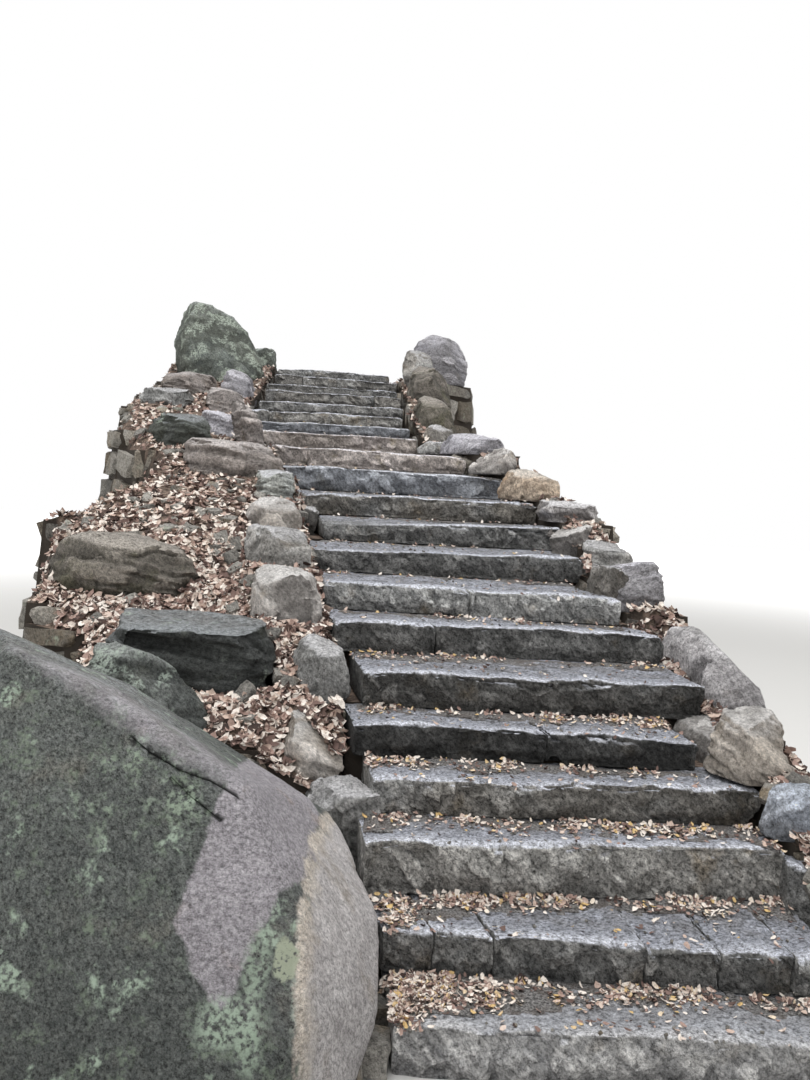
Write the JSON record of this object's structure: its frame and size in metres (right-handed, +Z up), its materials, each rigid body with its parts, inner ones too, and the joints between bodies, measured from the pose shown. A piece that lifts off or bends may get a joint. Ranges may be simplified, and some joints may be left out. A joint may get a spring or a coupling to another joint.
{
  "type": "outdoor stone steps",
  "caption": "Rustic flight of rock-faced stone steps that drifts to one side between edge rocks, on dry-stone walls.",
  "frame": {"origin": "on the base, under the middle of the front edge of the third step", "axes": "+Z up, +Y uphill along the flight, +X to the right for someone climbing"},
  "size_m": [5.3724, 10.8782, 3.9225],
  "materials": {
    "step_stone": "rock-faced gneiss with worn treads",
    "boulder_stone": "weathered gneiss with lichen",
    "pale_rock": "weathered tan gneiss",
    "orange_rock": "iron-stained gneiss",
    "wall_stone": "dry-laid fieldstone",
    "rubble": "packed rubble and grit"
  },
  "bodies": {
    "root": {"step_01": "step_stone", "step_02": "step_stone", "step_03": "step_stone", "step_04": "step_stone", "step_05": "step_stone", "step_06": "step_stone", "step_07": "step_stone", "step_08": "step_stone", "step_09": "step_stone", "step_10": "step_stone", "step_11": "step_stone", "step_12": "step_stone", "step_13": "step_stone", "step_14": "step_stone", "step_15": "step_stone", "step_16": "step_stone", "step_17": "step_stone", "step_18": "step_stone", "step_19": "step_stone", "step_20": "step_stone", "step_21": "step_stone", "great_boulder": "boulder_stone", "rubble_core": "rubble", "kerb_wall": "wall_stone", "bank_wall": "wall_stone", "right_wall": "wall_stone", "back_wall": "wall_stone", "right_foot_rocks": "boulder_stone", "right_corner_rock": "boulder_stone", "right_tan_boulder": "pale_rock", "right_long_boulder": "pale_rock", "right_low_blocks": "boulder_stone", "right_flat_top_rock": "pale_rock", "right_orange_boulder": "orange_rock", "right_ridged_rocks": "boulder_stone", "right_small_rocks": "boulder_stone", "right_upper_rocks": "boulder_stone", "right_head_rock": "pale_rock", "left_leaning_slab": "pale_rock", "left_round_rocks": "boulder_stone", "left_layered_rocks": "pale_rock", "left_upper_blocks": "boulder_stone", "left_head_boulder": "boulder_stone", "bank_lower_rocks": "boulder_stone", "bank_upper_rocks": "boulder_stone"}
  },
  "joints": []
}
